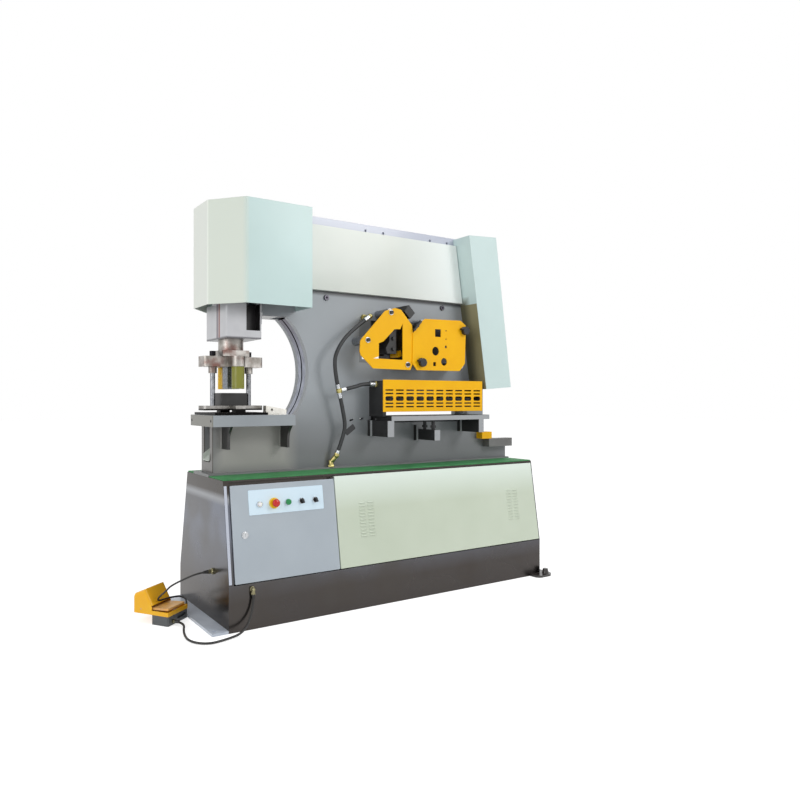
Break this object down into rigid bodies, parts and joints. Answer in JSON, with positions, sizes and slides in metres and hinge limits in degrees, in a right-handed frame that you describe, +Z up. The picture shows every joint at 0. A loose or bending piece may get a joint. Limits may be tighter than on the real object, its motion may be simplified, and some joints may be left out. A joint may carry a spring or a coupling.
{
  "type": "ironworker machine",
  "caption": "Hydraulic ironworker with punching station in a round throat, angle, section and flat bar shears, notching block, steel base cabinet and foot switch",
  "frame": {"origin": "centre of the four anchor holes at floor level", "axes": "+X to the right along the machine, +Y to its back, +Z up"},
  "size_m": [2.2727, 0.7662, 1.929],
  "materials": {
    "stainless": "satin",
    "white_grey": "satin",
    "green": "matte",
    "pale_paint": "satin",
    "door_grey": "satin",
    "white_plate": "satin",
    "dark_plastic": "matte",
    "yellow_plastic": "gloss",
    "red_plastic": "gloss",
    "green_plastic": "gloss",
    "bright_steel": "satin",
    "frame_grey": "satin",
    "tool_steel": "satin",
    "dark_steel": "satin",
    "spring_yellow": "gloss",
    "yellow_paint": "satin",
    "rubber": "matte",
    "zinc": "satin",
    "pedal_grey": "matte"
  },
  "bodies": {
    "base": {"angle_guard": "yellow_paint", "base_cabinet": "stainless", "beam_pin": "dark_steel", "die_block": "dark_steel", "die_holder": "tool_steel", "electrical_board": "white_grey", "fittings": "zinc", "fixed_blades": "dark_steel", "foot_flanges": "white_grey", "footswitch_base": "pedal_grey", "footswitch_hood": "yellow_paint", "frame_foot": "white_grey", "frame_front_plate": "frame_grey", "frame_rear_plate": "frame_grey", "frame_spacers": "frame_grey", "front_panel": "pale_paint", "guard_posts": "dark_steel", "guide_pillars": "bright_steel", "holddown_housing": "frame_grey", "hydraulic_hoses": "rubber", "notcher_block": "dark_steel", "notcher_guard": "yellow_paint", "pedal_cable_a": "rubber", "pedal_cable_b": "rubber", "power_pack": "frame_grey", "punch_cover": "pale_paint", "punch_cylinder": "frame_grey", "punch_table": "frame_grey", "section_guard": "yellow_paint", "shear_cover": "pale_paint", "shear_cylinder": "frame_grey", "shear_guard": "yellow_paint", "shear_table": "dark_steel", "slug_chute": "white_grey", "stop_bar": "dark_steel", "support_brackets": "frame_grey", "throat_liner": "bright_steel", "top_mat": "green", "upper_panels": "pale_paint"},
    "door": {"control_door": "door_grey", "control_plate": "white_plate", "lamp_and_bezels": "dark_plastic", "estop_collar": "yellow_plastic"},
    "lock": {"door_lock": "bright_steel"},
    "estop": {"estop_button": "red_plastic"},
    "start": {"start_button": "green_plastic"},
    "selector_a": {"selector_left": "dark_plastic"},
    "selector_b": {"selector_right": "dark_plastic"},
    "ram": {"punch_ram": "bright_steel", "upper_shoe": "tool_steel", "stripper_springs": "spring_yellow", "punch_block": "tool_steel"},
    "beam": {"shear_beam": "frame_grey", "moving_blades": "dark_steel"},
    "rod": {"shear_rod": "bright_steel"},
    "holddown": {"holddown_bar": "dark_steel"},
    "knob_upper": {"clamp_knob_upper": "dark_plastic"},
    "knob_lower": {"clamp_knob_lower": "dark_plastic"},
    "t_screw": {"holddown_screw": "dark_steel"},
    "treadle": {"footswitch_treadle": "bright_steel"}
  },
  "joints": [
    {"name": "door_hinge", "type": "hinge", "parent": "base", "child": "door", "pos_m": [-0.387, -0.27225, 0.40999], "axis": [0, 0.1445, 0.9895], "range_deg": [0, 100]},
    {"name": "lock_turn", "type": "hinge", "parent": "door", "child": "lock", "pos_m": [-0.856, -0.27976, 0.407], "axis": [0, -0.9895, 0.1445], "range_deg": [0, 90]},
    {"name": "estop_press", "type": "slide", "parent": "door", "child": "estop", "axis": [0, 0.9895, -0.1445], "range_m": [0, 0.006], "stiffness_N_per_m": 600},
    {"name": "start_press", "type": "slide", "parent": "door", "child": "start", "axis": [0, 0.9895, -0.1445], "range_m": [0, 0.004], "stiffness_N_per_m": 500},
    {"name": "selector_left_turn", "type": "hinge", "parent": "door", "child": "selector_a", "pos_m": [-0.565, -0.27422, 0.53488], "axis": [0, -0.9895, 0.1445], "range_deg": [-90, 0]},
    {"name": "selector_right_turn", "type": "hinge", "parent": "door", "child": "selector_b", "pos_m": [-0.493, -0.27422, 0.53488], "axis": [0, -0.9895, 0.1445], "range_deg": [-90, 0]},
    {"name": "ram_slide", "type": "slide", "parent": "base", "child": "ram", "axis": [0, 0, -1], "range_m": [0, 0.06]},
    {"name": "beam_hinge", "type": "hinge", "parent": "base", "child": "beam", "pos_m": [-0.214, 0.022, 1.08], "axis": [0, 1, 0], "range_deg": [0, 5.5]},
    {"name": "rod_slide", "type": "slide", "parent": "base", "child": "rod", "axis": [0.1453, 0, -0.9894], "range_m": [0, 0.09477]},
    {"name": "holddown_slide", "type": "slide", "parent": "base", "child": "holddown", "axis": [0, 0, -1], "range_m": [0, 0.03]},
    {"name": "knob_upper_turn", "type": "hinge", "parent": "base", "child": "knob_upper", "pos_m": [0.53, -0.1555, 1.382], "axis": [0, 1, 0], "range_deg": [-180, 180]},
    {"name": "knob_lower_turn", "type": "hinge", "parent": "base", "child": "knob_lower", "pos_m": [0.225, -0.1555, 1.197], "axis": [0, 1, 0], "range_deg": [-180, 180]},
    {"name": "t_screw_turn", "type": "hinge", "parent": "base", "child": "t_screw", "pos_m": [0.192, -0.1555, 1.392], "axis": [0, 1, 0], "range_deg": [-180, 180]},
    {"name": "treadle_hinge", "type": "hinge", "parent": "base", "child": "treadle", "pos_m": [-1.16612, 0.07023, 0.062], "axis": [0.809, 0.5878, 0], "range_deg": [0, 6], "stiffness_Nm_per_rad": 8}
  ],
  "couplings": [
    {"joint": "rod_slide", "follows": "beam_hinge", "m_per_rad": 0.98721}
  ]
}
